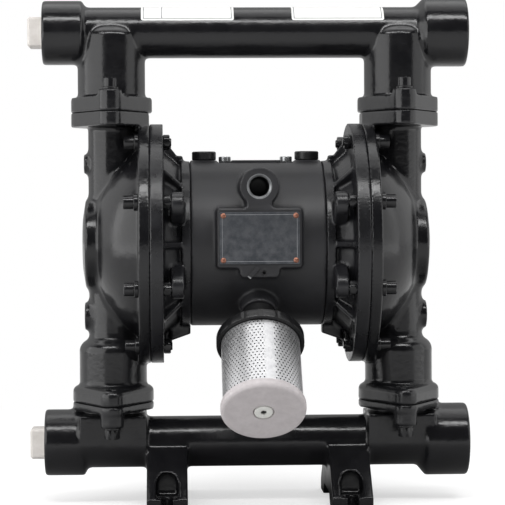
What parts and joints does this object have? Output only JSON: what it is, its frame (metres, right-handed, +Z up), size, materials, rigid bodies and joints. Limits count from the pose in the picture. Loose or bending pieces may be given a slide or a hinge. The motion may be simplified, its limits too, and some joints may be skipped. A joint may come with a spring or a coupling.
{
  "type": "air operated diaphragm pump",
  "caption": "Air operated diaphragm pump: metal fluid caps and clamped diaphragm discs either side of an air motor, with tube manifolds above and below, feet, and a front muffler.",
  "frame": {"origin": "centre of the four foot slots, on the floor", "axes": "+X along the manifolds towards the open ports, +Z up, -Y towards the front with the nameplate and muffler"},
  "size_m": [0.4365, 0.3106, 0.5022],
  "materials": {
    "black_enamel": "glossy black enamel over iron casting",
    "charcoal_enamel": "satin charcoal enamel over casting",
    "zinc_steel": "bright zinc plated",
    "stainless_steel": "turned and polished",
    "black_plastic": "moulded, satin",
    "beige_plastic": "moulded, matte",
    "grey_plastic": "moulded, matte",
    "white_plastic": "turned, satin",
    "screen_metal": "perforated sheet",
    "slate_plate": "slate anodised plate",
    "copper": "copper rivet, domed",
    "bronze": "sintered bearing bronze",
    "rubber": "moulded rubber",
    "aluminium": "machined",
    "felt": "pressed fibre"
  },
  "bodies": {
    "pump_body": {"air_cap_left": "charcoal_enamel", "air_cap_right": "charcoal_enamel", "air_cap_screws": "zinc_steel", "centre_body": "charcoal_enamel", "diaphragm_left": "rubber", "diaphragm_right": "rubber", "disc_bolts": "zinc_steel", "disc_nuts": "zinc_steel", "disc_washers": "zinc_steel", "flange_washers": "zinc_steel", "fluid_cap_left": "black_enamel", "fluid_cap_right": "black_enamel", "inlet_flange_bolts": "zinc_steel", "inlet_manifold": "black_enamel", "inlet_port_plug": "beige_plastic", "inlet_valve_seats": "stainless_steel", "muffler_collar": "black_plastic", "muffler_end_cap": "grey_plastic", "muffler_packing": "felt", "muffler_screen": "screen_metal", "muffler_tie_screw": "white_plastic", "nameplate": "slate_plate", "nameplate_rivets": "copper", "outlet_flange_screws": "zinc_steel", "outlet_manifold": "black_enamel", "outlet_port_plug": "beige_plastic", "outlet_valve_seats": "stainless_steel", "pilot_bushes": "bronze", "rod_bushes": "bronze", "rod_seals": "rubber", "seat_o_rings": "rubber", "top_cover": "black_plastic", "top_cover_screws": "zinc_steel", "top_plugs": "black_plastic", "valve_block": "charcoal_enamel", "valve_end_cap_left": "charcoal_enamel", "valve_end_cap_right": "charcoal_enamel", "valve_end_screws": "zinc_steel", "valve_gasket": "rubber", "valve_mounting_screws": "zinc_steel", "valve_sleeve": "stainless_steel"},
    "shuttle": {"connecting_rod": "stainless_steel", "air_side_plate_left": "aluminium", "air_side_plate_right": "aluminium", "fluid_side_plate_left": "stainless_steel", "fluid_side_plate_right": "stainless_steel"},
    "pilot": {"pilot_rod": "stainless_steel"},
    "spool": {"valve_spool": "aluminium"},
    "inlet_ball_left_body": {"inlet_ball_left": "white_plastic"},
    "inlet_ball_right_body": {"inlet_ball_right": "white_plastic"},
    "outlet_ball_left_body": {"outlet_ball_left": "white_plastic"},
    "outlet_ball_right_body": {"outlet_ball_right": "white_plastic"}
  },
  "joints": [
    {"name": "shuttle_slide", "type": "slide", "parent": "pump_body", "child": "shuttle", "axis": [1, 0, 0], "range_m": [-0.011, 0.011], "deforming": ["diaphragm_left", "diaphragm_right"]},
    {"name": "pilot_slide", "type": "slide", "parent": "pump_body", "child": "pilot", "axis": [1, 0, 0], "range_m": [-0.007, 0.007]},
    {"name": "spool_slide", "type": "slide", "parent": "pump_body", "child": "spool", "axis": [1, 0, 0], "range_m": [-0.007, 0.007]},
    {"name": "inlet_ball_left_lift", "type": "slide", "parent": "pump_body", "child": "inlet_ball_left_body", "axis": [0, 0, 1], "range_m": [0, 0.01]},
    {"name": "inlet_ball_right_lift", "type": "slide", "parent": "pump_body", "child": "inlet_ball_right_body", "axis": [0, 0, 1], "range_m": [0, 0.01]},
    {"name": "outlet_ball_left_lift", "type": "slide", "parent": "pump_body", "child": "outlet_ball_left_body", "axis": [0, 0, 1], "range_m": [0, 0.01]},
    {"name": "outlet_ball_right_lift", "type": "slide", "parent": "pump_body", "child": "outlet_ball_right_body", "axis": [0, 0, 1], "range_m": [0, 0.01]}
  ],
  "couplings": [
    {"joint": "pilot_slide", "follows": "shuttle_slide", "ratio": 0.6}
  ]
}
